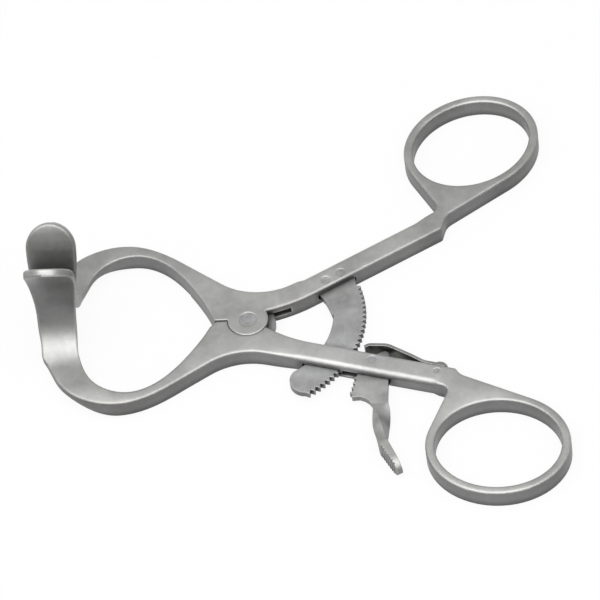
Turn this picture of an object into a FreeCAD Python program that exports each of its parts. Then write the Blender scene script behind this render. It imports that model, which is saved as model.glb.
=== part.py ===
import FreeCAD, Part
import math
import os
from FreeCAD import Vector

# Self-retaining mouth gag with uncrossed arms: squeezing the rings spreads the blades, and a
# sprung pawl holds a toothed bar. It is drawn lying flat with its jaws closed and the pawl let
# off. The origin is on the lock axis at the underside, +X runs to the finger rings along the
# plane where the blades meet, +Y is the fork arm's side and +Z is the way the blades stand.
# All lengths are millimetres and all angles degrees.

# Forged arms
BODY_THICKNESS = 5.0
SHANK_WIDTH = 5.7
FORK_SHANK_ANGLE = 32.0
FORK_SHANK_OFFSET = 0.75
TONGUE_SHANK_ANGLE = 15.3
TONGUE_SHANK_OFFSET = 6.1
WAIST_RADIUS = 16.0
HEEL_LENGTH = 17.0
FORK_HEEL = (4.7, -0.1, -18.0)
TONGUE_HEEL = (5.2, 1.2, 19.0)
JAW_EDGE_ROUND = 0.45
SHANK_EDGE_ROUND = 1.5
THROAT_EDGE_ROUND = 0.45
FILLET_RING_DISTANCE = 49.0
FILLET_LOCK_DISTANCE = HEEL_LENGTH + 0.5
FLANK_SEAM = 4.2
THROAT_SEAM = (-14.9, 11.8)
THROAT_SEAM_SLOPE = 37.4

# Finger rings, placed along and beside each shank
RING_LONG_RADIUS = 15.0
RING_SHORT_RADIUS = 12.75
RING_WALL = 2.2
RING_OFFSET = 16.6
FORK_RING_DISTANCE = 73.3
FORK_RING_TILT = 2.0
FORK_WEB_SLOPE = 5.0
FORK_NECK_LEAN = 0.0
TONGUE_RING_DISTANCE = 69.2
TONGUE_RING_TILT = -10.0
TONGUE_WEB_SLOPE = 10.0
TONGUE_NECK_LEAN = 5.3
RING_STEP_DISTANCE = 53.2
RING_STEP_SLOPE = 45.0
STEP_CORNER_ROUND = 1.0
STEP_FOOT_ROUND = 4.0
NECK_ROUND = 2.0

# Lock: the fork arm's two round cheeks sit in the tongue arm's recess
CHEEK_RADIUS = 4.9
CHEEK_GAP = 0.15
TONGUE_THICKNESS = 1.6
TONGUE_RADIUS = 6.6
TONGUE_GAP = 0.1
FORK_SLOT_GAP = 0.4
FORK_SLOT_REACH = 11.0
FORK_SLOT_HEIGHT = 1.5
LOCK_PIN_RADIUS = 2.0
LOCK_PIN_PLAY = 0.04
STOP_GAP = 0.4
STOP_CORNER_X = -7.6
STOP_NOSE = (-9.4, 2.4)

# Jaws, given for the +Y side
JAW_HALF_SPAN = 21.1
JAW_BELLY_X = -28.7
JAW_BAND_WIDTH = 3.5
JAW_THROAT = (-8.1, 0.0)
JAW_INNER_POINTS = ((-40.2, 10.1), (-36.9, 17.1), (JAW_BELLY_X, JAW_HALF_SPAN), (-19.3, 16.9), (-11.5, 6.7))
JAW_OUTER_POINTS = ((-21.9, 22.0), (JAW_BELLY_X - 1.0, JAW_HALF_SPAN + JAW_BAND_WIDTH), (-38.6, 23.0),
                    (-45.2, 17.4), (-48.4, 11.4))
JAW_FLANK_POINT = (-7.3, 11.9)
JAW_FLANK_SLOPE = 35.5
JAW_FLANK_LENGTH = 7.0
TAPER_START_X = -12.0
TAPER_END_X = -38.0

# Blades: each jaw band bends up and then leans outwards
BLADE_THICKNESS = 1.9
BLADE_BEND_RADIUS = 13.0
BLADE_LEAN_RADIUS = 29.3
BLADE_LEAN_ANGLE = 40.0
BLADE_WIDTH = 11.9
BLADE_CENTRE_X = -44.8
BLADE_TIP_LENGTH = 6.2
BLADE_GAP = 0.15

# Ratchet bar, an arc whose centre lies a little beside the lock axis, so that the pawl bites
# deeper as the jaws open
RATCHET_THICKNESS = 1.6
RATCHET_CENTRE = (0.6, 1.3)
RATCHET_INNER_RADIUS = 19.9
RATCHET_INNER_END_ANGLE = -56.5
RATCHET_TIP_RADIUS = 27.8
RATCHET_END_BULGE = (24.0, -63.3)
RATCHET_SEAT_START = 18.7
RATCHET_SEAT_END = 28.6
RATCHET_SEAT_TOP = 2.0
RATCHET_SEAT_GAP = 0.3
RATCHET_SKIRT = ((18.95, -4.6), (18.6, -7.0), (18.15, -9.2), (21.5, -9.2), (27.5, -4.45))
TOOTH_HEIGHT = 0.95
TOOTH_PITCH = 3.06
TOOTH_COUNT = 26
TOOTH_TIP_SHARE = 0.16
TEETH_START_ANGLE = 20.69
RIVET_RADIUS = 0.95
RIVET_DISTANCES = (21.7, 25.9)
RIVET_OFFSET = 0.0
PLATE_GAP = 0.15
SLOT_START = 16.4
SLOT_END = 38.3

# Release lever: a pawl plate whose neck twists into a finger pad. The plate is drawn let off
# and swings by PAWL_TRAVEL to mesh when the jaws are open by JAW_TRAVEL.
JAW_TRAVEL = 39.0
LEVER_PIN = (30.4, -13.6)
LEVER_PIN_RADIUS = 0.9
LEVER_PIN_PLAY = 0.04
PAWL_TRAVEL = 33.5
PAWL_TOOTH_COUNT = 4
PAWL_FIRST_GULLET = 5
PAWL_TIP_RADIUS = 28.5
PAWL_TIP_STEP = 0.23
PAWL_TOOTH_DEPTH = 0.6
PAWL_TOOTH_FOOT = 0.75
PAWL_TOOTH_TIP = 0.2
PAWL_BOSS_RADIUS = 2.3
LEVER_NOSE = ((34.3, -24.0), (34.3, -11.3), (34.0, -10.2), (33.2, -9.9), (32.2, -10.3))
LEVER_SHOULDER = ((29.3, -11.6), (28.2, -13.2))
LEVER_HEEL = ((25.7, -23.6), (27.6, -23.5), (28.8, -24.0), (29.8, -24.8), (30.6, -25.9), (34.5, -25.9))
# Neck stations: place, heading, roll, width and thickness
NECK_STATIONS = ((32.55, -25.8, -88, 0, 3.9, 1.6), (32.8, -28.6, -88, 26, 3.8, 2.0),
                 (32.85, -31.8, -86, 56, 3.8, 2.3), (32.95, -35.2, -79, 80, 4.2, 2.3),
                 (33.7, -38.4, -62, 90, 4.8, 2.2))
PAD_LENGTH = 8.7
PAD_TIP_THICKNESS = 1.3
PAD_TIP_LENGTH = 4.0
PAD_GROOVE_START = 1.2
PAD_GROOVE_PITCH = 0.95
PAD_GROOVE_COUNT = 7
PAD_GROOVE_DEPTH = 0.3

# Leaf spring on the tongue arm, its bends given on the face towards the shank
LEAF_THICKNESS = 0.75
LEAF_WIDTH = 4.6
LEAF_ROOT_START = 45.0
LEAF_ROOT_END = 50.4
LEAF_BENDS = ((39.4, -12.9), (33.8, -9.55), (29.6, -9.3), (28.7, -9.8))
LEAF_BEND_RADII = (1.2, 4.0, 25.0, 6.0)
SCREW_DISTANCE = 49.0
SCREW_SHAFT_RADIUS = 1.1
SCREW_LENGTH = 3.6
SCREW_HEAD_RADIUS = 1.8
SCREW_HEAD_HEIGHT = 1.4
SCREW_SLOT_WIDTH = 0.4
CROSS_PIN_RADIUS = 0.6
CROSS_PIN_OFFSET = 5.0

MID_PLANE = BODY_THICKNESS / 2
UP = Vector(0, 0, 1)
ORIGIN = Vector(0, 0, 0)
FAR = 200.0


def polar(radius, angle, height=0.0):
    """A plan point given by its distance and direction from the lock axis."""
    return Vector(radius * math.cos(math.radians(angle)), radius * math.sin(math.radians(angle)), height)


def turned(point, angle, centre=ORIGIN):
    """A plan point turned about a centre."""
    arm = point - centre
    turn = FreeCAD.Rotation(UP, angle)
    return centre + turn.multVec(arm)


def line(start, end):
    return Part.LineSegment(start, end).toShape()


def polygon(points):
    return Part.makePolygon(points + points[:1])


def prism(wire, bottom, top):
    """A closed plan wire as a solid between two heights."""
    face = Part.Face(wire)
    face.translate(Vector(0, 0, bottom))
    return face.extrude(Vector(0, 0, top - bottom))


def disc(radius, bottom, top, x=0.0, y=0.0):
    return Part.makeCylinder(radius, top - bottom, Vector(x, y, bottom))


def block(low, high):
    return Part.makeBox(high.x - low.x, high.y - low.y, high.z - low.z, low)


def crossing(point_a, direction_a, point_b, direction_b):
    """Where two plan lines meet."""
    span = point_b - point_a
    cross = direction_a.x * direction_b.y - direction_a.y * direction_b.x
    along = (span.x * direction_b.y - span.y * direction_b.x) / cross
    return point_a + direction_a * along


def rounded_path(points, radii):
    """Edges of an open polyline whose inner corners are rounded by tangent arcs."""
    edges = []
    here = points[0]
    for before, corner, after, radius in zip(points, points[1:], points[2:], radii):
        back = (before - corner).normalize()
        ahead = (after - corner).normalize()
        half = back.getAngle(ahead) / 2
        reach = radius / math.tan(half)
        start = corner + back * reach
        end = corner + ahead * reach
        middle = corner + (back + ahead).normalize() * (radius / math.sin(half) - radius)
        edges.append(line(here, start))
        edges.append(Part.Arc(start, middle, end).toShape())
        here = end
    edges.append(line(here, points[-1]))
    return edges


def spline(points, start=None, end=None):
    """A smooth edge through plan points, with optional end directions."""
    curve = Part.BSplineCurve()
    if start is None:
        curve.interpolate(points)
    else:
        curve.interpolate(points, InitialTangent=start, FinalTangent=end)
    return curve.toShape()


class ShankFrame:
    """Plan places measured along a shank from the lock axis and outwards from that line."""

    def __init__(self, angle, offset):
        self.along = polar(1.0, angle)
        self.outward = polar(1.0, angle + 90)
        self.inner = offset - SHANK_WIDTH / 2
        self.outer = offset + SHANK_WIDTH / 2
        self.offset = offset
        self.angle = angle

    def at(self, distance, outward, height=0.0):
        return self.along * distance + self.outward * outward + Vector(0, 0, height)

    def box(self, start, end, inner, outer, bottom, top):
        """A solid block square to the shank."""
        corners = [self.at(start, inner), self.at(end, inner), self.at(end, outer), self.at(start, outer)]
        return prism(polygon(corners), bottom, top)


class Ring:
    """A finger ring's oval beside a shank."""

    def __init__(self, frame, distance, tilt):
        self.centre = frame.at(distance, frame.offset + RING_OFFSET)
        self.long_axis = polar(1.0, frame.angle + tilt)
        self.short_axis = polar(1.0, frame.angle + tilt + 90)
        self.angle = frame.angle + tilt

    def ellipse(self, wall):
        long_end = self.centre + self.long_axis * (RING_LONG_RADIUS + wall)
        short_end = self.centre + self.short_axis * (RING_SHORT_RADIUS + wall)
        return Part.Ellipse(long_end, short_end, self.centre)

    def touch(self, direction, wall):
        """Curve parameter where the oval, run anticlockwise, heads in a direction."""
        local = math.radians(direction - self.angle)
        long_radius = RING_LONG_RADIUS + wall
        short_radius = RING_SHORT_RADIUS + wall
        return math.atan2(-math.cos(local) / long_radius, math.sin(local) / short_radius) % (2 * math.pi)


FORK = ShankFrame(FORK_SHANK_ANGLE, FORK_SHANK_OFFSET)
TONGUE = ShankFrame(TONGUE_SHANK_ANGLE, TONGUE_SHANK_OFFSET)
FORK_RING = Ring(FORK, FORK_RING_DISTANCE, FORK_RING_TILT)
TONGUE_RING = Ring(TONGUE, TONGUE_RING_DISTANCE, TONGUE_RING_TILT)

BLADE_ROOT_INNER_X = -40.8
BLADE_ROOT_OUTER_X = -50.1
BLADE_TURN_Y = 6.6
BLADE_SEAM_Y = 5.3
BLADE_FLARE_START = 9.0
BLADE_FLARE_END = 29.0
BLADE_INNER_X = BLADE_CENTRE_X + BLADE_WIDTH / 2
BLADE_OUTER_X = BLADE_CENTRE_X - BLADE_WIDTH / 2
BLADE_ROOT_Y = BLADE_GAP + BLADE_BEND_RADIUS
RIBBON_BOTTOM = BODY_THICKNESS - BLADE_THICKNESS


def jaw_inner_edge():
    """The tooth-side opening of one jaw, from the blade to the lock."""
    places = ((BLADE_ROOT_INNER_X, BLADE_TURN_Y),) + JAW_INNER_POINTS + (JAW_THROAT,)
    points = [Vector(x, y, 0) for x, y in places]
    return spline(points, Vector(0, 1, 0), Vector(7, -15, 0).normalize())


def jaw_outer_edge(start):
    """The outside of one jaw, from the flank to the blade."""
    places = JAW_OUTER_POINTS + ((BLADE_ROOT_OUTER_X, BLADE_TURN_Y),)
    points = [start] + [Vector(x, y, 0) for x, y in places]
    flank = polar(1.0, 180 - JAW_FLANK_SLOPE)
    return spline(points, flank, Vector(0, -1, 0))


def arm_outline(frame, ring, heel, web_slope, neck_lean):
    """Plan outline of a whole arm, with the finger hole left out."""
    along = frame.along
    ring_curve = ring.ellipse(RING_WALL)
    web_touch = ring.touch(frame.angle + web_slope, RING_WALL)
    neck_touch = ring.touch(frame.angle - 90 + neck_lean, RING_WALL)
    web_end = ring_curve.value(web_touch)
    neck_start = ring_curve.value(neck_touch)
    web_direction = polar(1.0, frame.angle + web_slope)
    step_corner = frame.at(RING_STEP_DISTANCE, frame.inner)
    step_foot = crossing(step_corner, polar(1.0, frame.angle + RING_STEP_SLOPE), web_end, web_direction)
    neck_direction = polar(1.0, frame.angle + 90 + neck_lean)
    neck_corner = crossing(neck_start, neck_direction, frame.at(0, frame.outer), along)
    flank_point = Vector(JAW_FLANK_POINT[0], JAW_FLANK_POINT[1], 0)
    flank = polar(1.0, 180 - JAW_FLANK_SLOPE)
    waist_corner = crossing(frame.at(0, frame.outer), along, flank_point, flank)
    flank_end = flank_point + flank * JAW_FLANK_LENGTH

    heel_start = frame.at(heel[0], heel[1])
    heel_end = frame.at(HEEL_LENGTH, frame.inner)
    throat = Vector(JAW_THROAT[0], JAW_THROAT[1], 0)
    edges = [jaw_inner_edge(), line(throat, ORIGIN), line(ORIGIN, heel_start)]
    edges.append(spline([heel_start, heel_end], polar(1.0, frame.angle + heel[2]), along))
    edges += rounded_path([heel_end, step_corner, step_foot, web_end], [STEP_CORNER_ROUND, STEP_FOOT_ROUND])
    edges.append(Part.ArcOfEllipse(ring_curve, web_touch, neck_touch).toShape())
    edges += rounded_path([neck_start, neck_corner, waist_corner, flank_end], [NECK_ROUND, WAIST_RADIUS])
    edges.append(jaw_outer_edge(flank_end))
    corners = [Vector(BLADE_ROOT_OUTER_X, BLADE_TURN_Y, 0), Vector(BLADE_ROOT_OUTER_X, 0, 0),
               Vector(BLADE_ROOT_INNER_X, 0, 0), Vector(BLADE_ROOT_INNER_X, BLADE_TURN_Y, 0)]
    edges += [line(*pair) for pair in zip(corners, corners[1:])]
    return Part.Wire(Part.__sortEdges__(edges))


def side_taper():
    """The arm seen from the side: flush on top, its underside rising towards the blades."""
    low_start = Vector(TAPER_START_X, 0, 0)
    low_end = Vector(TAPER_END_X, 0, RIBBON_BOTTOM)
    reach = Vector(TAPER_END_X - TAPER_START_X, 0, 0)
    edges = [line(Vector(FAR, 0, BODY_THICKNESS), Vector(FAR, 0, 0)),
             line(Vector(FAR, 0, 0), low_start),
             spline([low_start, low_end], reach, reach),
             line(low_end, Vector(-FAR, 0, RIBBON_BOTTOM)),
             line(Vector(-FAR, 0, RIBBON_BOTTOM), Vector(-FAR, 0, BODY_THICKNESS)),
             line(Vector(-FAR, 0, BODY_THICKNESS), Vector(FAR, 0, BODY_THICKNESS))]
    face = Part.Face(Part.Wire(edges))
    face.translate(Vector(0, -FAR, 0))
    return face.extrude(Vector(0, 2 * FAR, 0))


def blade_ribbon():
    """The bent sheet of one blade as wide as the outline allows, before its sides are trimmed."""
    low_centre = Vector(0, BLADE_ROOT_Y, RIBBON_BOTTOM + BLADE_BEND_RADIUS)
    high_centre = Vector(0, BLADE_GAP + BLADE_LEAN_RADIUS, low_centre.z)

    def arc(centre, radius, start, end):
        """An arc in the side view, its angles measured from +Y towards +Z."""
        spots = [centre + Vector(0, radius * math.cos(math.radians(a)), radius * math.sin(math.radians(a)))
                 for a in (start, (start + end) / 2, end)]
        return Part.Arc(*spots).toShape(), spots[0], spots[2]

    lean_end = 180 - BLADE_LEAN_ANGLE
    outer_bend, outer_start, outer_middle = arc(low_centre, BLADE_BEND_RADIUS, 270, 180)
    outer_lean, _, outer_tip = arc(high_centre, BLADE_LEAN_RADIUS, 180, lean_end)
    inner_lean, inner_tip, _ = arc(high_centre, BLADE_LEAN_RADIUS - BLADE_THICKNESS, lean_end, 180)
    inner_bend, _, inner_start = arc(low_centre, BLADE_BEND_RADIUS - BLADE_THICKNESS, 180, 270)
    edges = [outer_bend, outer_lean, line(outer_tip, inner_tip), inner_lean, inner_bend,
             line(inner_start, outer_start)]
    face = Part.Face(Part.Wire(edges))
    face.translate(Vector(BLADE_CENTRE_X - BLADE_WIDTH, 0, 0))
    return face.extrude(Vector(2 * BLADE_WIDTH, 0, 0))


def blade_tip_mask():
    """A slab across the leaning blade whose end is its round tip."""
    lean_tip = math.radians(BLADE_LEAN_ANGLE)
    lean = math.radians(BLADE_LEAN_ANGLE * 0.8)
    centre_y = BLADE_GAP + BLADE_LEAN_RADIUS
    middle_radius = BLADE_LEAN_RADIUS - BLADE_THICKNESS / 2
    tip = Vector(BLADE_CENTRE_X, centre_y - middle_radius * math.cos(lean_tip),
                 RIBBON_BOTTOM + BLADE_BEND_RADIUS + middle_radius * math.sin(lean_tip))
    up_blade = Vector(0, math.sin(lean), math.cos(lean))
    across = Vector(0, math.cos(lean), -math.sin(lean))
    half = Vector(BLADE_WIDTH / 2, 0, 0)
    shoulder = tip - up_blade * BLADE_TIP_LENGTH
    foot = tip - up_blade * 60
    oval = Part.Ellipse(tip, shoulder - half, shoulder)
    edges = [Part.ArcOfEllipse(oval, -math.pi / 2, math.pi / 2).toShape(),
             line(shoulder - half, foot - half), line(foot - half, foot + half),
             line(foot + half, shoulder + half)]
    face = Part.Face(Part.Wire(Part.__sortEdges__(edges)))
    face.translate(across * -40)
    return face.extrude(across * 80)


def blade_root_mask():
    """A slab seen from the front: the blade flares from its narrow root to its full width."""
    edges = []
    for side, root in ((BLADE_INNER_X, BLADE_ROOT_INNER_X), (BLADE_OUTER_X, BLADE_ROOT_OUTER_X)):
        flare = [Vector(root, 0, BLADE_FLARE_START), Vector(side, 0, BLADE_FLARE_END)]
        edges += [line(Vector(root, 0, 0), flare[0]), spline(flare, UP, UP), line(flare[1], Vector(side, 0, 60))]
    edges += [line(Vector(BLADE_ROOT_INNER_X, 0, 0), Vector(BLADE_ROOT_OUTER_X, 0, 0)),
              line(Vector(BLADE_INNER_X, 0, 60), Vector(BLADE_OUTER_X, 0, 60))]
    face = Part.Face(Part.Wire(Part.__sortEdges__(edges)))
    face.translate(Vector(0, -40, 0))
    return face.extrude(Vector(0, 80, 0))


def bend_wedge():
    """The space above the line across the bend where the flat outline hands over to the blade's own."""
    hinge = Vector(0, BLADE_ROOT_Y, RIBBON_BOTTOM + BLADE_BEND_RADIUS)
    drop = math.sqrt(BLADE_BEND_RADIUS ** 2 - (BLADE_ROOT_Y - BLADE_SEAM_Y) ** 2)
    outward = (Vector(0, BLADE_SEAM_Y, hinge.z - drop) - hinge).normalize()
    corners = [hinge, hinge + outward * 60, hinge + Vector(0, -60, 60), hinge + Vector(0, 60, 60)]
    face = Part.Face(polygon(corners))
    face.translate(Vector(-FAR, 0, 0))
    return face.extrude(Vector(2 * FAR, 0, 0))


def edges_near(shape, points, reach=0.02):
    """The edges of a solid that pass through the given points."""
    found = []
    for edge in shape.Edges:
        for point in points:
            if edge.distToShape(Part.Vertex(point))[0] < reach:
                found.append(edge)
                break
    return found


def round_rims(solid, point, start_radius, end_radius):
    """Round the top and bottom edges whose run passes a plan point, the radius changing along it."""
    for height in (BODY_THICKNESS, 0):
        level = Vector(0, 0, height)
        edge = edges_near(solid, [point + level])[0]
        solid = solid.makeFillet(start_radius, end_radius, [edge])
    return solid


def ring_end(plate, frame, ring):
    """The finger ring with the last of its shank, all its rims rounded."""
    solid = plate.common(frame.box(FILLET_RING_DISTANCE, FAR, -FAR, FAR, 0, BODY_THICKNESS))
    solid = round_rims(solid, frame.at(FILLET_RING_DISTANCE + 0.5, frame.outer), THROAT_EDGE_ROUND,
                       SHANK_EDGE_ROUND)
    hole = prism(Part.Wire(ring.ellipse(0).toShape()), 0, BODY_THICKNESS)
    solid = solid.cut(hole)
    seam = ring.ellipse(0).value(0)
    for height in (BODY_THICKNESS, 0):
        rim = edges_near(solid, [seam + Vector(0, 0, height)])
        solid = solid.makeFillet(THROAT_EDGE_ROUND, rim)
    return solid


def shank_length(plate, frame):
    """The straight shank, widely rounded outside and crisp inside."""
    solid = plate.common(frame.box(FILLET_LOCK_DISTANCE, FILLET_RING_DISTANCE, -FAR, FAR, 0, BODY_THICKNESS))
    middle = (FILLET_LOCK_DISTANCE + FILLET_RING_DISTANCE) / 2
    solid = round_rims(solid, frame.at(middle, frame.outer), SHANK_EDGE_ROUND, SHANK_EDGE_ROUND)
    return round_rims(solid, frame.at(middle, frame.inner), THROAT_EDGE_ROUND, THROAT_EDGE_ROUND)


def jaw_side():
    """The space beyond a stepped seam that crosses the jaw's outer and inner rims squarely."""
    flank = polar(1.0, 180 - JAW_FLANK_SLOPE)
    outer = Vector(JAW_FLANK_POINT[0], JAW_FLANK_POINT[1], 0) + flank * FLANK_SEAM
    outward = polar(1.0, 90 - JAW_FLANK_SLOPE)
    inner = Vector(THROAT_SEAM[0], THROAT_SEAM[1], 0)
    inward = polar(1.0, 180 + THROAT_SEAM_SLOPE)
    corners = [outer + outward * 20, outer - outward * 1.5, inner - inward * 1.5, inner + inward * 25,
               Vector(-90, -30, 0), Vector(-90, 60, 0)]
    return prism(polygon(corners), -1, BODY_THICKNESS + 1)


def lock_length(plate, frame):
    """The arm about the lock, its outer rim going over from the shank's rounding to the jaw's."""
    solid = plate.common(frame.box(-FAR, FILLET_LOCK_DISTANCE, -FAR, FAR, 0, BODY_THICKNESS))
    solid = solid.cut(jaw_side())
    solid = round_rims(solid, frame.at(FILLET_LOCK_DISTANCE - 0.3, frame.outer), SHANK_EDGE_ROUND, JAW_EDGE_ROUND)
    return round_rims(solid, frame.at(FILLET_LOCK_DISTANCE - 0.3, frame.inner), THROAT_EDGE_ROUND,
                      THROAT_EDGE_ROUND)


def jaw_length(plate):
    """The jaw band with its blade."""
    band = plate.common(jaw_side())
    band = band.cut(block(Vector(-60, -1, 0), Vector(-33, BLADE_ROOT_Y, BODY_THICKNESS)))
    root = plate.common(block(Vector(-60, 0, 0), Vector(-33, BLADE_ROOT_Y, BODY_THICKNESS)))
    top = max(root.Faces, key=lambda face: face.CenterOfMass.z)
    top.translate(Vector(0, 0, -2 * BODY_THICKNESS))
    column = top.extrude(Vector(0, 0, 8 * BODY_THICKNESS))
    ribbon = blade_ribbon()
    lower = ribbon.common(column).cut(bend_wedge())
    upper = ribbon.common(blade_tip_mask()).common(blade_root_mask()).common(bend_wedge())
    jaw = band.fuse([lower, upper]).removeSplitter()
    flank = polar(1.0, 180 - JAW_FLANK_SLOPE)
    rim = Vector(JAW_FLANK_POINT[0], JAW_FLANK_POINT[1], 0) + flank * (FLANK_SEAM + 0.5)
    return round_rims(jaw, rim, JAW_EDGE_ROUND, JAW_EDGE_ROUND)


def arm_blank(frame, ring, heel, web_slope, neck_lean):
    """One forged arm before its lock and slots are cut."""
    plate = prism(arm_outline(frame, ring, heel, web_slope, neck_lean), 0, BODY_THICKNESS).common(side_taper())
    pieces = [shank_length(plate, frame), lock_length(plate, frame), jaw_length(plate)]
    return ring_end(plate, frame, ring).fuse(pieces).removeSplitter()


def lock_pin():
    return disc(LOCK_PIN_RADIUS, 0, BODY_THICKNESS)


def layer(thickness, gap=0.0):
    """Bottom and top heights of a plate held in the middle of the arms."""
    half = thickness / 2 + gap
    return MID_PLANE - half, MID_PLANE + half


def fork_arm():
    """The upper arm: two round cheeks at the lock and a seat for the ratchet bar."""
    arm = arm_blank(FORK, FORK_RING, FORK_HEEL, FORK_WEB_SLOPE, FORK_NECK_LEAN)
    arm = arm.fuse(disc(CHEEK_RADIUS, 0, BODY_THICKNESS))
    low, high = layer(TONGUE_THICKNESS, TONGUE_GAP)
    slot = disc(TONGUE_RADIUS + FORK_SLOT_GAP, low, high)
    slot = slot.fuse(FORK.box(0, FORK_SLOT_REACH, -9, FORK_SLOT_HEIGHT, low, high))
    low, high = layer(RATCHET_THICKNESS)
    seat = FORK.box(RATCHET_SEAT_START - RATCHET_SEAT_GAP, RATCHET_SEAT_END + RATCHET_SEAT_GAP, -9,
                    RATCHET_SEAT_TOP, low, high)
    rivets = [rivet(distance) for distance in RIVET_DISTANCES]
    return arm.cut([slot, seat, lock_pin()] + rivets).removeSplitter()


def tongue_arm():
    """The lower arm: a recess for the cheeks, a round tongue, and a slot for bar and lever."""
    arm = arm_blank(TONGUE, TONGUE_RING, TONGUE_HEEL, TONGUE_WEB_SLOPE, TONGUE_NECK_LEAN)
    low, high = layer(TONGUE_THICKNESS)
    recess = CHEEK_RADIUS + CHEEK_GAP
    stop = [Vector(0, -9, 0), Vector(0, STOP_GAP, 0), Vector(STOP_CORNER_X, STOP_GAP, 0),
            Vector(STOP_NOSE[0], STOP_NOSE[1], 0), Vector(-14, STOP_NOSE[1], 0), Vector(-14, -9, 0)]
    arm = arm.cut([prism(polygon(stop), -1, BODY_THICKNESS + 1), disc(recess, -1, low),
                   disc(recess, high, BODY_THICKNESS + 1)])
    arm = arm.fuse(disc(TONGUE_RADIUS, low, high))
    low, high = layer(RATCHET_THICKNESS, PLATE_GAP)
    slot = TONGUE.box(SLOT_START, SLOT_END, -5, 15, low, high)
    arm = arm.cut([slot, disc(LOCK_PIN_RADIUS + LOCK_PIN_PLAY, -1, BODY_THICKNESS + 1)])
    arm = arm.mirror(ORIGIN, Vector(0, 1, 0))
    return arm.cut([lever_pin(), screw_shaft(), cross_pin()]).removeSplitter()


def rivet(distance):
    spot = FORK.at(distance, RIVET_OFFSET)
    return disc(RIVET_RADIUS, 0, BODY_THICKNESS, spot.x, spot.y)


def bar_point(radius, angle):
    """A plan point of the ratchet bar, given about the bar's own centre."""
    return polar(radius, angle) + Vector(RATCHET_CENTRE[0], RATCHET_CENTRE[1], 0)


def gullet(number):
    """The foot between two of the ratchet's teeth, counted clockwise."""
    return bar_point(RATCHET_TIP_RADIUS - TOOTH_HEIGHT, TEETH_START_ANGLE - TOOTH_PITCH * number)


def toothed_edge():
    """Points of the ratchet's teeth, taken clockwise from the first gullet."""
    rise = TOOTH_PITCH * (1 - TOOTH_TIP_SHARE) / 2
    points = []
    for tooth in range(TOOTH_COUNT):
        angle = TEETH_START_ANGLE - TOOTH_PITCH * tooth
        points.append(gullet(tooth))
        points.append(bar_point(RATCHET_TIP_RADIUS, angle - rise))
        points.append(bar_point(RATCHET_TIP_RADIUS, angle - TOOTH_PITCH + rise))
    points.append(gullet(TOOTH_COUNT))
    return points


def ratchet_bar():
    """The toothed arc with the block by which it sits in the fork arm."""
    low, high = layer(RATCHET_THICKNESS)
    teeth = toothed_edge()
    inner_start = bar_point(RATCHET_INNER_RADIUS, TEETH_START_ANGLE)
    inner_end = bar_point(RATCHET_INNER_RADIUS, RATCHET_INNER_END_ANGLE)
    inner_middle = bar_point(RATCHET_INNER_RADIUS, (TEETH_START_ANGLE + RATCHET_INNER_END_ANGLE) / 2)
    edges = [line(a, b) for a, b in zip(teeth, teeth[1:])]
    edges += [Part.Arc(teeth[-1], bar_point(*RATCHET_END_BULGE), inner_end).toShape(),
              Part.Arc(inner_end, inner_middle, inner_start).toShape(),
              line(inner_start, teeth[0])]
    arc = prism(Part.Wire(edges), low, high)
    corners = [FORK.at(RATCHET_SEAT_START, RATCHET_SEAT_TOP), FORK.at(RATCHET_SEAT_START, FORK.inner)]
    corners += [FORK.at(distance, outward) for distance, outward in RATCHET_SKIRT]
    corners += [FORK.at(RATCHET_SEAT_END, FORK.inner), FORK.at(RATCHET_SEAT_END, RATCHET_SEAT_TOP)]
    seat = prism(polygon(corners), low, high)
    bar = arc.fuse(seat)
    return bar.cut([rivet(distance) for distance in RIVET_DISTANCES]).removeSplitter()


def lever_pin():
    return disc(LEVER_PIN_RADIUS, 0, BODY_THICKNESS, LEVER_PIN[0], LEVER_PIN[1])


def pawl_teeth():
    """Points of the pawl's teeth, each centred on a gullet of the open bar and turned back to rest."""
    pin = Vector(LEVER_PIN[0], LEVER_PIN[1], 0)
    points = []
    for tooth in range(PAWL_TOOTH_COUNT):
        outward = turned(gullet(PAWL_FIRST_GULLET + tooth), -JAW_TRAVEL).normalize()
        tip = outward * (PAWL_TIP_RADIUS - PAWL_TIP_STEP * tooth)
        foot = tip + outward * PAWL_TOOTH_DEPTH
        across = turned(outward, 90) / 2
        corners = [foot + across * PAWL_TOOTH_FOOT, tip + across * PAWL_TOOTH_TIP,
                   tip - across * PAWL_TOOTH_TIP, foot - across * PAWL_TOOTH_FOOT]
        points += [turned(corner, PAWL_TRAVEL, pin) for corner in corners]
    return points


def pawl_plate():
    """The lever's flat end, drawn let off."""
    low, high = layer(RATCHET_THICKNESS)
    outline = [Vector(x, y, 0) for x, y in LEVER_NOSE + LEVER_SHOULDER]
    outline += pawl_teeth()
    outline += [Vector(x, y, 0) for x, y in LEVER_HEEL]
    plate = prism(polygon(outline), low, high)
    return plate.fuse(disc(PAWL_BOSS_RADIUS, low, high, LEVER_PIN[0], LEVER_PIN[1]))


def lever_neck():
    """The quarter twist between plate and pad: roll 0 lies flat, roll 90 stands up."""
    sections = []
    for x, y, heading, roll, width, thickness in NECK_STATIONS:
        turn = FreeCAD.Rotation(polar(1.0, heading), -roll)
        wide = turn.multVec(polar(1.0, heading + 90)) * (width / 2)
        high = turn.multVec(UP) * (thickness / 2)
        middle = Vector(x, y, MID_PLANE)
        sections.append(polygon([middle - wide - high, middle + wide - high, middle + wide + high,
                                 middle - wide + high]))
    return Part.makeLoft(sections, True, False)


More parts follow.
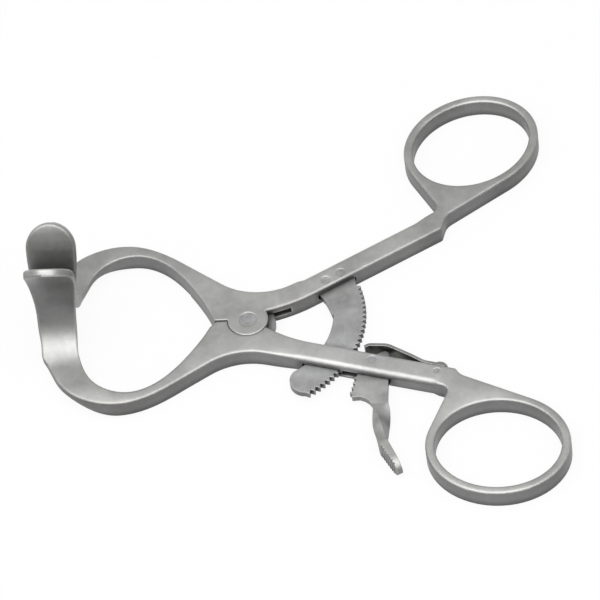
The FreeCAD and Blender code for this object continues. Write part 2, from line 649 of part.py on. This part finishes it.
def lever_pad():
    """The upright finger pad, thinner and round at its end, with grooves across its squeezed face."""
    x, y, heading, _, height, thickness = NECK_STATIONS[-1]
    start = Vector(x, y, 0)
    along = polar(1.0, heading)
    side = polar(1.0, heading + 90)
    end = start + along * PAD_LENGTH
    wide, thin = side * (thickness / 2), side * (PAD_TIP_THICKNESS / 2)
    slab = prism(polygon([start - wide, end - thin, end + thin, start + wide]), 0, BODY_THICKNESS)

    shoulder = start + along * (PAD_LENGTH - PAD_TIP_LENGTH) + UP * MID_PLANE
    rise = UP * (height / 2)
    foot = start + UP * MID_PLANE
    oval = Part.Ellipse(shoulder + along * PAD_TIP_LENGTH, shoulder + rise, shoulder)
    edges = [Part.ArcOfEllipse(oval, -math.pi / 2, math.pi / 2).toShape(),
             line(shoulder + rise, foot + rise), line(foot + rise, foot - rise),
             line(foot - rise, shoulder - rise)]
    face = Part.Face(Part.Wire(Part.__sortEdges__(edges)))
    face.translate(side * -5)
    pad = slab.common(face.extrude(side * 10))
    grooves = []
    for number in range(PAD_GROOVE_COUNT):
        distance = PAD_GROOVE_START + PAD_GROOVE_PITCH * number
        half = thickness / 2 - (thickness - PAD_TIP_THICKNESS) / 2 * distance / PAD_LENGTH
        spot = start + along * distance - side * half
        corners = [spot - along * PAD_GROOVE_DEPTH - side * 0.05, spot + side * PAD_GROOVE_DEPTH,
                   spot + along * PAD_GROOVE_DEPTH - side * 0.05]
        grooves.append(prism(polygon(corners), -1, BODY_THICKNESS + 1))
    return pad.cut(grooves)


def release_lever():
    lever = pawl_plate().fuse([lever_neck(), lever_pad()])
    hole = disc(LEVER_PIN_RADIUS + LEVER_PIN_PLAY, -1, BODY_THICKNESS + 1, LEVER_PIN[0], LEVER_PIN[1])
    return lever.cut(hole).removeSplitter()


def strip(points, radii, thickness):
    """Closed plan wire of a bent strip whose right-hand face follows a rounded polyline."""
    sides = [turned((b - a).normalize(), 90) * thickness for a, b in zip(points, points[1:])]
    far = [points[0] + sides[0]]
    far_radii = []
    for index in range(1, len(points) - 1):
        before = points[index] - points[index - 1]
        after = points[index + 1] - points[index]
        far.append(crossing(points[index] + sides[index - 1], before, points[index] + sides[index], after))
        left_bend = before.x * after.y - before.y * after.x > 0
        far_radii.append(radii[index - 1] + (-thickness if left_bend else thickness))
    far.append(points[-1] + sides[-1])
    edges = rounded_path(points, radii) + rounded_path(far, far_radii)
    edges += [line(points[0], far[0]), line(points[-1], far[-1])]
    return Part.Wire(Part.__sortEdges__(edges))


def leaf_spring():
    """The flat spring along the tongue arm's inner face, its free end over the lever's nose."""
    low, high = layer(LEAF_WIDTH)
    path = [mirrored(TONGUE.at(LEAF_ROOT_END, TONGUE.inner)), mirrored(TONGUE.at(LEAF_ROOT_START, TONGUE.inner))]
    path += [Vector(x, y, 0) for x, y in LEAF_BENDS]
    return prism(strip(list(reversed(path)), LEAF_BEND_RADII, LEAF_THICKNESS), low, high).cut(screw_shaft())


def mirrored(point):
    """A plan point taken over to the -Y side."""
    return Vector(point.x, -point.y, point.z)


def screw_place(outward):
    spot = mirrored(TONGUE.at(SCREW_DISTANCE, outward))
    return Vector(spot.x, spot.y, MID_PLANE)


def screw_shaft():
    """Also the bore for it."""
    start = screw_place(TONGUE.inner + SCREW_LENGTH)
    axis = screw_place(TONGUE.inner - 10) - start
    return Part.makeCylinder(SCREW_SHAFT_RADIUS, SCREW_LENGTH + LEAF_THICKNESS, start, axis)


def spring_screw():
    """A low domed and slotted head on its shaft, with the hole for the cross pin."""
    seat = screw_place(TONGUE.inner - LEAF_THICKNESS)
    axis = (screw_place(TONGUE.inner - 10) - seat).normalize()
    head = Part.makeCylinder(SCREW_HEAD_RADIUS, SCREW_HEAD_HEIGHT, seat, axis)
    rim = [edge for edge in head.Edges if abs((edge.CenterOfMass - seat).dot(axis) - SCREW_HEAD_HEIGHT) < 0.01]
    head = head.makeFillet(SCREW_HEAD_HEIGHT * 0.8, rim)
    slot = block(Vector(-5, -SCREW_SLOT_WIDTH / 2, SCREW_HEAD_HEIGHT * 0.5), Vector(5, SCREW_SLOT_WIDTH / 2, 5))
    slot.Placement = FreeCAD.Placement(seat, FreeCAD.Rotation(UP, axis))
    return head.cut(slot).fuse(screw_shaft()).cut(cross_pin()).removeSplitter()


def cross_pin():
    spot = screw_place(CROSS_PIN_OFFSET)
    return disc(CROSS_PIN_RADIUS, 0, BODY_THICKNESS, spot.x, spot.y)


def export(shape, name):
    shape.exportStep(os.path.join("parts", name + ".step"))
    solids = shape.Solids
    volume = sum(solid.Volume for solid in solids)
    print(name, "valid", shape.isValid(), "solids", len(solids), "volume", round(volume, 2))


os.makedirs("parts", exist_ok=True)
export(fork_arm(), "fork_arm")
export(tongue_arm(), "tongue_arm")
export(lock_pin(), "lock_pin")
export(ratchet_bar(), "ratchet_bar")
export(rivet(RIVET_DISTANCES[0]), "bar_rivet_1")
export(rivet(RIVET_DISTANCES[1]), "bar_rivet_2")
export(release_lever(), "release_lever")
export(lever_pin(), "lever_pin")
export(leaf_spring(), "leaf_spring")
export(spring_screw(), "spring_screw")
export(cross_pin(), "screw_lock_pin")
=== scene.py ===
import math

import bmesh
import bpy
from mathutils import Matrix, Vector


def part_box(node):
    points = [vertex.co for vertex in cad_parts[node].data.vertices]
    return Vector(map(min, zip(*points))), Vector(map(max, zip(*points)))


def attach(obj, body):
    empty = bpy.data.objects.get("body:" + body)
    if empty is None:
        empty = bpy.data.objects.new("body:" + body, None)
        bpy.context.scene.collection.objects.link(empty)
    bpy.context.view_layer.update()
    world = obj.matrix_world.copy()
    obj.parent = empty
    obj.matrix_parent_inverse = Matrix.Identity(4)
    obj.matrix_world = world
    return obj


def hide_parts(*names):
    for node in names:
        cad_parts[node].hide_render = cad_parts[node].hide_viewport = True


# The instrument comes in as its solids, lying flat with the jaws closed and the blades upright.
# Each section below takes one kind of piece and gives it its last shape and its finish.
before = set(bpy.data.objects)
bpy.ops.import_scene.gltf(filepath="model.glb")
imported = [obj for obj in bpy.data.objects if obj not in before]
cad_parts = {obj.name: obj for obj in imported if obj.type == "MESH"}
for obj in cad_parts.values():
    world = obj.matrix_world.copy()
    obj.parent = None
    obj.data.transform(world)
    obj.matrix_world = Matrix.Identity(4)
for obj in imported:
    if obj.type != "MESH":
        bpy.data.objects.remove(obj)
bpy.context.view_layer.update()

# The two arms are forged stainless steel. They are ground on belts and then blasted with fine
# beads, which leaves a satin grey. The flat tops were ground again by hand, so that they are
# never quite flat. The walls are painted a darker grey than the tops: painted shade. Joints,
# slots and the foot of each wall near the table are painted darker still: painted shade. Use
# has polished the edges, and they are painted lighter: partly wear, partly painted highlight.
MM = 0.001
TOP_GREY = (0.60, 0.60, 0.59)
WALL_PAINTED_SHADE_GREY = (0.22, 0.22, 0.22)
WORN_AND_HIGHLIT_GREY = (0.78, 0.78, 0.77)
WARM_TINT = (1.0, 0.985, 0.955)
COOL_TINT = (0.97, 0.985, 1.0)
TINT_SIZE = 24 * MM
PATCH_SIZE = 16 * MM
SPECK_SIZE = 1.4 * MM
DARKEST_TONE, PATCH_TONE, SPECK_TONE = 0.34, 1.02, 0.28
PAINTED_SHADE_REACH = 2.4 * MM
PAINTED_CREVICE_SHADE, PAINTED_SHADE_CURVE = 0.08, 1.8
WALL_NORMAL, FLAT_NORMAL = 0.25, 0.95
EDGE_START, EDGE_FULL = 0.995, 0.93
EDGE_WEAR_AND_HIGHLIGHT = 0.45
ARM_SOFTNESS = 0.85 * MM
SMALL_SOFTNESS = 0.3 * MM
SATIN_METAL = 0.72
SATIN_ROUGHNESS = 0.41
ROUGHNESS_SPREAD = 0.12
ROUGHNESS_SIZE = 4 * MM
GRINDING_WAVE, GRINDING_DEPTH, GRINDING_STRENGTH = 14 * MM, 0.5 * MM, 1.0
BEAD_GRAIN, BEAD_DEPTH, BEAD_STRENGTH = 0.16 * MM, 0.012 * MM, 0.25
RAY_SAMPLES = 6
MIX_SHARE, MIX_FIRST, MIX_SECOND, MIX_COLOUR = 0, 6, 7, 2


class Socket:
    """One value in a shader. Arithmetic on it adds the Math nodes for it."""

    def __init__(self, shading, output):
        self.shading = shading
        self.output = output

    def _with(self, operation, first, second):
        return self.shading.add("ShaderNodeMath", {"operation": operation}, {0: first, 1: second})

    def __add__(self, other):
        return self._with("ADD", self, other)

    def __radd__(self, other):
        return self._with("ADD", other, self)

    def __sub__(self, other):
        return self._with("SUBTRACT", self, other)

    def __rsub__(self, other):
        return self._with("SUBTRACT", other, self)

    def __mul__(self, other):
        return self._with("MULTIPLY", self, other)

    def __rmul__(self, other):
        return self._with("MULTIPLY", other, self)

    def __pow__(self, power):
        return self._with("POWER", self, power)


class Shading:
    """The shader nodes of a material or of the room."""

    def __init__(self, owner):
        owner.use_nodes = True
        self.tree = owner.node_tree

    def _plug(self, node, values):
        for name, value in values.items():
            if isinstance(value, Socket):
                self.tree.links.new(value.output, node.inputs[name])
            else:
                node.inputs[name].default_value = value

    def add(self, kind, settings, values, result=0):
        """A new node, given its settings first and then the values or links of its sockets."""
        node = self.tree.nodes.new(kind)
        for name, setting in settings.items():
            setattr(node, name, setting)
        self._plug(node, values)
        return Socket(self, node.outputs[result])

    def feed(self, name, values):
        """Gives values or links to a node that the tree already has."""
        self._plug(self.tree.nodes[name], values)

    def blend(self, share, first, second, blend_type="MIX"):
        """A colour between two colours."""
        pair = [side if isinstance(side, Socket) else (*side, 1) for side in (first, second)]
        return self.add("ShaderNodeMix", {"data_type": "RGBA", "blend_type": blend_type},
                        {MIX_SHARE: share, MIX_FIRST: pair[0], MIX_SECOND: pair[1]}, MIX_COLOUR)

    def shaded(self, colour, shade):
        """A colour multiplied by another."""
        return self.blend(1.0, colour, shade, "MULTIPLY")

    def cloud(self, size, detail=3):
        """Noise between 0 and 1 whose patches are about this many metres across."""
        place = self.add("ShaderNodeTexCoord", {}, {}, "Object")
        return self.add("ShaderNodeTexNoise", {}, {"Vector": place, "Scale": 1 / size, "Detail": detail})

    def ramp(self, value, zero_at, one_at):
        """A smooth step from 0 to 1 while a value goes from one mark to another."""
        return self.add("ShaderNodeMapRange", {"interpolation_type": "SMOOTHSTEP"},
                        {"Value": value, "From Min": zero_at, "From Max": one_at})

    def relief(self, height, strength, depth, normal):
        """A normal that follows small ups and downs of the surface."""
        return self.add("ShaderNodeBump", {},
                        {"Height": height, "Strength": strength, "Distance": depth, "Normal": normal})

    def uprightness(self):
        """1 on a wall and 0 on a flat top or underside: the mask of the walls' painted shade."""
        facing = self.add("ShaderNodeNewGeometry", {}, {}, "Normal")
        height = self.add("ShaderNodeSeparateXYZ", {}, {"Vector": facing}, "Z")
        flatness = self.add("ShaderNodeMath", {"operation": "ABSOLUTE"}, {0: height})
        return 1 - self.ramp(flatness, WALL_NORMAL, FLAT_NORMAL)

    def edges(self, rounded):
        """1 along an edge and 0 on a plain face, by how far the rounded normal leans there."""
        facing = self.add("ShaderNodeNewGeometry", {}, {}, "Normal")
        likeness = self.add("ShaderNodeVectorMath", {"operation": "DOT_PRODUCT"},
                            {0: rounded, 1: facing}, "Value")
        return self.ramp(likeness, EDGE_START, EDGE_FULL)

    def openness_for_painted_shade(self):
        """1 in the open and less in a joint, a slot or close to the table: the mask of painted shade."""
        return self.add("ShaderNodeAmbientOcclusion", {"samples": RAY_SAMPLES},
                        {"Distance": PAINTED_SHADE_REACH}, "AO")


def satin_steel(name, top, wall_painted_shade, roughness=SATIN_ROUGHNESS, patch=PATCH_SIZE, wave=GRINDING_WAVE,
                softness=SMALL_SOFTNESS, wear_and_highlight=EDGE_WEAR_AND_HIGHLIGHT):
    """Blasted steel with painted shade on its walls, joints and slots, and edges painted lighter as wear
    and highlight.
    """
    material = bpy.data.materials.new(name)
    steel = Shading(material)
    rounded = steel.add("ShaderNodeBevel", {"samples": RAY_SAMPLES}, {"Radius": softness})

    blasting = DARKEST_TONE + PATCH_TONE * steel.cloud(patch) + SPECK_TONE * steel.cloud(SPECK_SIZE)
    # The blasting's random mottle, darkened in joints, slots and near the table: painted shade.
    mottle_with_painted_shade = blasting * (PAINTED_CREVICE_SHADE + (1 - PAINTED_CREVICE_SHADE) * steel.openness_for_painted_shade() ** PAINTED_SHADE_CURVE)
    grey = steel.add("ShaderNodeCombineColor", {}, {"Red": mottle_with_painted_shade, "Green": mottle_with_painted_shade, "Blue": mottle_with_painted_shade})
    # The walls take the wall grey in place of the top grey: painted shade.
    tops_and_painted_wall_shade = steel.blend(steel.uprightness(), top, wall_painted_shade)
    # Edges are lightened towards the pale grey: partly wear, partly painted highlight.
    worn_and_highlit = steel.blend(wear_and_highlight * steel.edges(rounded), tops_and_painted_wall_shade, WORN_AND_HIGHLIT_GREY)
    tint = steel.blend(steel.cloud(TINT_SIZE, detail=1), WARM_TINT, COOL_TINT)

    unevenness = ROUGHNESS_SPREAD * steel.cloud(ROUGHNESS_SIZE)
    hand_ground = steel.relief(steel.cloud(wave, detail=1), GRINDING_STRENGTH, GRINDING_DEPTH, rounded)
    blasted = steel.relief(steel.cloud(BEAD_GRAIN, detail=1), BEAD_STRENGTH, BEAD_DEPTH, hand_ground)
    steel.feed("Principled BSDF", {"Base Color": steel.shaded(steel.shaded(worn_and_highlit, tint), grey),
                                   "Metallic": SATIN_METAL,
                                   "Roughness": roughness - ROUGHNESS_SPREAD / 2 + unevenness,
                                   "Normal": blasted})
    return material


# Each jaw keeps the arm's full thickness round its belly and thins to the blade's ribbon only
# where it turns in towards the blade. The outer corner of that turn is ground to a slim waist.
LOCK_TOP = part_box("lock_pin")[1].z
RIBBON_RISE = 3.1 * MM
SOLID_THIN_START, SOLID_THIN_END = -12 * MM, -38 * MM
BAND_HEADING = math.radians(210)
BAND_THIN_START, BAND_THIN_END = 14 * MM, 28 * MM
WAIST_Y, WAIST_LENGTH, WAIST_DEPTH = 6.8 * MM, 3.2 * MM, 1.0 * MM
WAIST_INNER_X, WAIST_OUTER_X = -45.5 * MM, -50.0 * MM
WAIST_BOTTOM, WAIST_TOP = 3 * MM, 11 * MM
SAME_PLACE = 0.001 * MM
CREASE_ANGLE = math.radians(28)


def eased(value, zero_at, one_at):
    """A smooth step from 0 to 1 while a value goes from one mark to another."""
    share = min(max((value - zero_at) / (one_at - zero_at), 0), 1)
    return share * share * (3 - 2 * share)


def shape_jaw(place):
    """Where a corner of the solid's jaw lies on the finished forging."""
    shaped = place.copy()
    if place.z < LOCK_TOP and place.x < SOLID_THIN_START:
        along = place.x * math.cos(BAND_HEADING) + abs(place.y) * math.sin(BAND_HEADING)
        solid_rise = RIBBON_RISE * eased(place.x, SOLID_THIN_START, SOLID_THIN_END)
        band_rise = RIBBON_RISE * eased(along, BAND_THIN_START, BAND_THIN_END)
        depth = (LOCK_TOP - place.z) * (LOCK_TOP - band_rise) / (LOCK_TOP - solid_rise)
        shaped.z = LOCK_TOP - min(depth, LOCK_TOP)
    outer_share = eased(place.x, WAIST_INNER_X, WAIST_OUTER_X)
    low_share = eased(place.z, WAIST_TOP, WAIST_BOTTOM)
    near_share = math.exp(-((abs(place.y) - WAIST_Y) / WAIST_LENGTH) ** 2)
    shaped.x += WAIST_DEPTH * outer_share * low_share * near_share
    return shaped


def placed(name, shape, material):
    """The piece that a bmesh makes, with its place in its mesh."""
    mesh = bpy.data.meshes.new(name)
    shape.to_mesh(mesh)
    shape.free()
    mesh.materials.append(material)
    piece = bpy.data.objects.new(name, mesh)
    bpy.context.collection.objects.link(piece)
    return piece


def forging(node, body, material):
    """Shows the finished forging in place of an arm's solid, moving with its side of the lock."""
    shape = bmesh.new()
    shape.from_mesh(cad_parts[node].data)
    bmesh.ops.remove_doubles(shape, verts=shape.verts, dist=SAME_PLACE)
    for corner in shape.verts:
        corner.co = shape_jaw(corner.co)
    for face in shape.faces:
        face.smooth = True
    for edge in shape.edges:
        edge.smooth = edge.calc_face_angle(0) < CREASE_ANGLE
    piece = placed(node + "_forging", shape, material)
    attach(piece, body)
    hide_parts(node)


arm_steel = satin_steel("satin steel of the arms", TOP_GREY, WALL_PAINTED_SHADE_GREY, softness=ARM_SOFTNESS)
forging("fork_arm", "fork_side", arm_steel)
forging("tongue_arm", "tongue_side", arm_steel)

# The lock pin, the bar's rivets, the lever's pin and the screw's cross pin are drawn steel. They
# are hammered over and ground flush with the arms, and are a little cooler in tone than they are.
PIN_TOP = (0.53, 0.535, 0.54)
PIN_PATCH_SIZE = 2 * MM
PIN_SOFTNESS = 0.1 * MM
PIN_WEAR_AND_HIGHLIGHT = 0.0


def finish(node, material):
    """Gives a piece its steel in place of the plain one that it came with."""
    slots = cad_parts[node].data.materials
    slots.clear()
    slots.append(material)


# Their upright sides take the arms' darker wall grey: painted shade.
pin_steel = satin_steel("ground pin ends", PIN_TOP, WALL_PAINTED_SHADE_GREY, patch=PIN_PATCH_SIZE,
                        softness=PIN_SOFTNESS, wear_and_highlight=PIN_WEAR_AND_HIGHLIGHT)
for pin in ("lock_pin", "bar_rivet_1", "bar_rivet_2", "lever_pin", "screw_lock_pin"):
    finish(pin, pin_steel)

# The toothed bar is stamped from sheet and its teeth are milled. It was blasted flat, so that
# its face is more even than the arms'.
BAR_TOP = (0.59, 0.59, 0.595)
BAR_PATCH_SIZE = 5 * MM
BAR_WAVE = 30 * MM
# Its upright sides take the arms' darker wall grey: painted shade.
finish("ratchet_bar", satin_steel("toothed bar steel", BAR_TOP, WALL_PAINTED_SHADE_GREY, patch=BAR_PATCH_SIZE,
                                  wave=BAR_WAVE))

# The release lever is one small forging: a flat toothed plate, a neck twisted by a quarter turn,
# and an upright pad whose pressed side is filed into grooves. It is blasted all over. Its walls
# are painted darker than its tops: painted shade.
LEVER_TOP = (0.57, 0.57, 0.56)
LEVER_WALL_PAINTED_SHADE = (0.28, 0.28, 0.275)
LEVER_PATCH_SIZE = 5 * MM
finish("release_lever", satin_steel("release lever steel", LEVER_TOP, LEVER_WALL_PAINTED_SHADE,
                                    patch=LEVER_PATCH_SIZE))

# The leaf spring is a strip of tempered steel, bent cold. It isn't blasted, and its faces are a
# little smoother than the arms. Its upright surfaces are painted nearly black: painted shade.
LEAF_TOP = (0.44, 0.44, 0.42)
LEAF_UPRIGHT_PAINTED_SHADE = (0.10, 0.10, 0.085)
LEAF_ROUGHNESS = 0.3
LEAF_PATCH_SIZE = 4 * MM
finish("leaf_spring", satin_steel("tempered leaf steel", LEAF_TOP, LEAF_UPRIGHT_PAINTED_SHADE,
                                  roughness=LEAF_ROUGHNESS, patch=LEAF_PATCH_SIZE))

# The screw that holds the leaf has a low domed head with a slot. It is turned from bar, which is
# a warmer grey than the forgings. Its upright surfaces are painted darker: painted shade.
SCREW_TOP = (0.48, 0.46, 0.42)
SCREW_WALL_PAINTED_SHADE = (0.34, 0.33, 0.30)
SCREW_PATCH_SIZE = 1.5 * MM
finish("spring_screw", satin_steel("spring screw steel", SCREW_TOP, SCREW_WALL_PAINTED_SHADE,
                                   patch=SCREW_PATCH_SIZE))

# The studio table is a plain white sheet. It shows white to the camera and in reflections, and
# keeps a faint shadow of the instrument. Any other light sees it as a dull grey.
TABLE_HALF = 2.0
TABLE_GAP = 0.02 * MM
TABLE_GLOW = 0.92
TABLE_DULL = 0.12


def plain(grey):
    """A grey as a colour socket takes it."""
    return (grey, grey, grey, 1)


def table_paper():
    """White paper for the camera and for reflections, and dull paper for any other light."""
    material = bpy.data.materials.new("white table")
    paper = Shading(material)
    paper.tree.nodes.remove(paper.tree.nodes["Principled BSDF"])
    seen = 0.0
    for ray in ("Is Camera Ray", "Is Glossy Ray", "Is Transmission Ray"):
        is_ray = paper.add("ShaderNodeLightPath", {}, {}, ray)
        seen = paper.add("ShaderNodeMath", {"operation": "MAXIMUM"}, {0: seen, 1: is_ray})
    dull = paper.add("ShaderNodeBsdfDiffuse", {}, {"Color": plain(TABLE_DULL)})
    glow = paper.add("ShaderNodeEmission", {}, {"Color": plain(1), "Strength": TABLE_GLOW})
    matt = paper.add("ShaderNodeBsdfDiffuse", {}, {"Color": plain(1 - TABLE_GLOW)})
    white = paper.add("ShaderNodeAddShader", {}, {0: glow, 1: matt})
    surface = paper.add("ShaderNodeMixShader", {}, {0: seen, 1: dull, 2: white})
    paper.feed("Material Output", {"Surface": surface})
    return material


sheet = bmesh.new()
bmesh.ops.create_grid(sheet, x_segments=1, y_segments=1, size=TABLE_HALF)
bmesh.ops.translate(sheet, verts=sheet.verts, vec=(0, 0, -TABLE_GAP))
table = placed("table", sheet, table_paper())

# The camera stands far off with a long lens, 50 degrees above the table. It looks across the
# instrument, 9 degrees round from square to its length, and is held 9 degrees off level.
CAMERA_RISE = math.radians(50)
CAMERA_TURN = math.radians(9)
CAMERA_ROLL = math.radians(9)
CAMERA_DISTANCE = 1.2048
CAMERA_AIM = Vector((0.012454, 0.005432, LOCK_TOP))
CAMERA_LENS, CAMERA_SENSOR = 300, 36
CAMERA_NEAR, CAMERA_FAR = 0.05, 20
forward = Vector((-math.sin(CAMERA_TURN) * math.cos(CAMERA_RISE),
                  math.cos(CAMERA_TURN) * math.cos(CAMERA_RISE), -math.sin(CAMERA_RISE)))
level = Vector((math.cos(CAMERA_TURN), math.sin(CAMERA_TURN), 0))
upright = level.cross(forward)
right = level * math.cos(CAMERA_ROLL) - upright * math.sin(CAMERA_ROLL)
above = upright * math.cos(CAMERA_ROLL) + level * math.sin(CAMERA_ROLL)
lens = bpy.data.cameras.new("camera")
lens.lens = CAMERA_LENS
lens.sensor_width = CAMERA_SENSOR
lens.clip_start = CAMERA_NEAR
lens.clip_end = CAMERA_FAR
camera = bpy.data.objects.new("camera", lens)
camera_turn = Matrix((right, above, -forward)).transposed().to_4x4()
camera.matrix_world = Matrix.Translation(CAMERA_AIM - forward * CAMERA_DISTANCE) @ camera_turn
bpy.context.collection.objects.link(camera)
bpy.context.scene.camera = camera

# The studio has one broad soft box overhead, a little to the camera's side of the instrument, and
# an even, dim room. The room shows white behind the table and is a soft grey to everything else.
SOFT_BOX_PLACE = Vector((-0.05, -0.26, 0.98))
SOFT_BOX_WIDTH, SOFT_BOX_DEPTH = 1.5, 1.3
SOFT_BOX_POWER = 10.8
ROOM_LIGHT = 0.34
lamp = bpy.data.lights.new("key soft box", "AREA")
lamp.shape = "RECTANGLE"
lamp.size = SOFT_BOX_WIDTH
lamp.size_y = SOFT_BOX_DEPTH
lamp.energy = SOFT_BOX_POWER
soft_box = bpy.data.objects.new("key soft box", lamp)
soft_box.location = SOFT_BOX_PLACE
soft_box.rotation_euler = (-SOFT_BOX_PLACE).to_track_quat("-Z", "Y").to_euler()
bpy.context.collection.objects.link(soft_box)

bpy.context.scene.world = bpy.data.worlds.new("studio room")
room = Shading(bpy.context.scene.world)
shows_room = room.add("ShaderNodeLightPath", {}, {}, "Is Camera Ray")
room.feed("Background", {"Color": plain(1), "Strength": ROOM_LIGHT + (1 - ROOM_LIGHT) * shows_room})

bpy.context.scene.view_settings.view_transform = "Standard"
